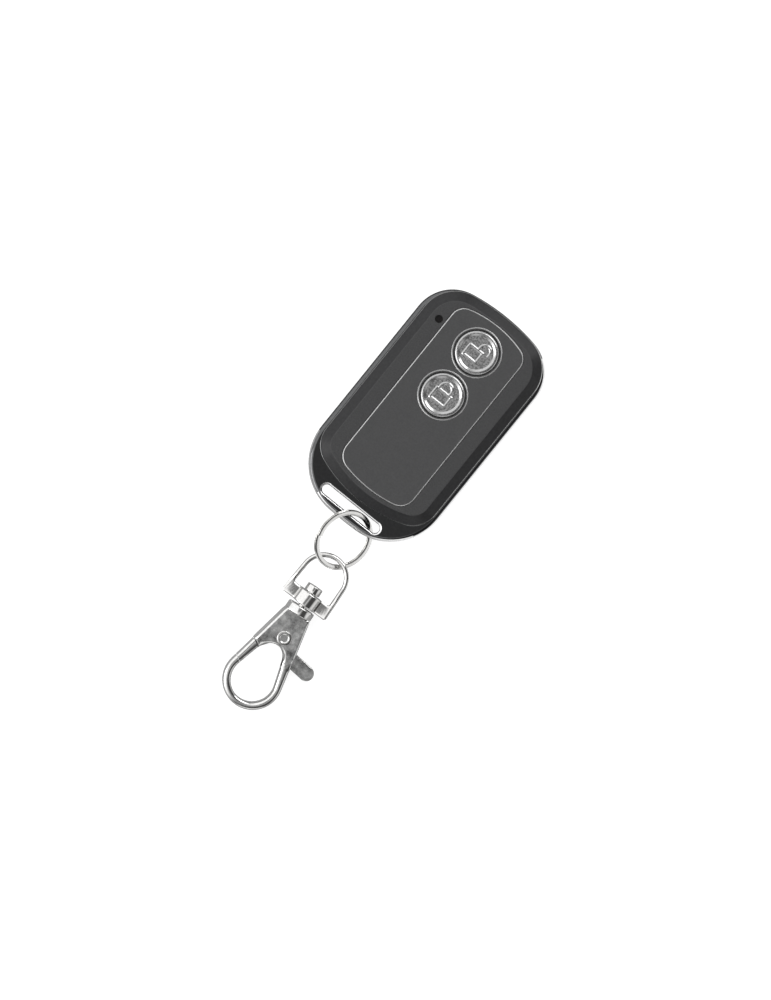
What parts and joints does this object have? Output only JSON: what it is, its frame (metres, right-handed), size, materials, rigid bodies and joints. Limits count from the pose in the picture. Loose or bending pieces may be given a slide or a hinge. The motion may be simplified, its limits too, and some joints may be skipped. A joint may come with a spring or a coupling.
{
  "type": "wireless key fob with snap hook",
  "caption": "Pocket wireless remote control with round push keys in a bright metal frame, carried on a split ring with a swivelling trigger snap hook.",
  "frame": {"origin": "centre of the rear cover's flat face", "axes": "+Z out of the push keys, +Y from the hook towards the end with the keys, +X to the right seen from the front"},
  "size_m": [0.035, 0.109, 0.0116],
  "materials": {
    "frame_chrome": "bright chrome plate over die-cast metal",
    "cover_plastic": "fine-textured charcoal plastic",
    "plate_coating": "dark grey satin sheet with a bright cut edge",
    "key_coating": "satin metallic grey plastic",
    "board_laminate": "green lacquered laminate",
    "screw_steel": "dark zinc plate",
    "cell_steel": "plain stainless can",
    "contact_bronze": "springy bronze sheet",
    "switch_plastic": "black moulded plastic",
    "switch_steel": "thin stamped steel",
    "plunger_plastic": "black moulded plastic",
    "led_resin": "clear resin block",
    "lens_plastic": "smoked clear plastic",
    "chip_resin": "black epoxy",
    "can_metal": "nickel-plated can",
    "resistor_ceramic": "black glaze on ceramic",
    "capacitor_ceramic": "tan ceramic",
    "track_copper": "bare copper",
    "ring_steel": "nickel-plated spring steel",
    "bow_metal": "polished nickel plate",
    "hook_metal": "nickel plate, polished ring and grained flat faces",
    "spring_steel": "plain spring wire"
  },
  "bodies": {
    "fob": {"rear_cover": "cover_plastic", "chrome_frame": "frame_chrome", "front_cover": "cover_plastic", "face_plate": "plate_coating", "circuit_board": "board_laminate", "case_screws": "screw_steel", "coin_cell": "cell_steel", "battery_clip": "contact_bronze", "battery_contact": "contact_bronze", "indicator_led": "led_resin", "indicator_lens": "lens_plastic", "encoder_chip": "chip_resin", "resonator_can": "can_metal", "output_transistor": "chip_resin", "chip_resistors": "resistor_ceramic", "chip_capacitors": "capacitor_ceramic", "loop_antenna": "track_copper", "unlock_switch_base": "switch_plastic", "unlock_switch_cover": "switch_steel", "unlock_switch_dome": "switch_steel", "lock_switch_base": "switch_plastic", "lock_switch_cover": "switch_steel", "lock_switch_dome": "switch_steel"},
    "unlock_key": {"unlock_button": "key_coating", "unlock_switch_plunger": "plunger_plastic"},
    "lock_key": {"lock_button": "key_coating", "lock_switch_plunger": "plunger_plastic"},
    "key_ring": {"split_ring": "ring_steel"},
    "bow": {"swivel_bow": "bow_metal"},
    "snap_hook": {"hook_body": "hook_metal", "swivel_stud": "bow_metal", "trigger_rivet": "bow_metal", "trigger_spring": "spring_steel"},
    "hook_trigger": {"trigger": "hook_metal"}
  },
  "joints": [
    {"name": "unlock_press", "type": "slide", "parent": "fob", "child": "unlock_key", "axis": [0, 0, -1], "range_m": [0, 0.0004], "stiffness_N_per_m": 3000, "deforming": ["unlock_switch_dome"]},
    {"name": "lock_press", "type": "slide", "parent": "fob", "child": "lock_key", "axis": [0, 0, -1], "range_m": [0, 0.0004], "stiffness_N_per_m": 3000, "deforming": ["lock_switch_dome"]},
    {"name": "ring_turn", "type": "hinge", "parent": "fob", "child": "key_ring", "pos_m": [0.00317, -0.0294, 0.00515], "axis": [1, 0, 0], "range_deg": [-35, 35]},
    {"name": "bow_turn", "type": "hinge", "parent": "key_ring", "child": "bow", "pos_m": [0.00317, -0.0401, 0.0052], "axis": [0.5, 0, -0.866], "range_deg": [-30, 45]},
    {"name": "hook_swivel", "type": "hinge", "parent": "bow", "child": "snap_hook", "pos_m": [0.0053, -0.0501, 0.00364], "axis": [-0.0819, 0.9956, 0.0461], "continuous": true},
    {"name": "trigger_press", "type": "hinge", "parent": "snap_hook", "child": "hook_trigger", "pos_m": [0.00641, -0.05998, 0.00313], "axis": [0.1768, -0.0311, 0.9838], "range_deg": [0, 25], "stiffness_Nm_per_rad": 0.02, "springref_deg": -17.19, "deforming": ["trigger_spring"]}
  ]
}
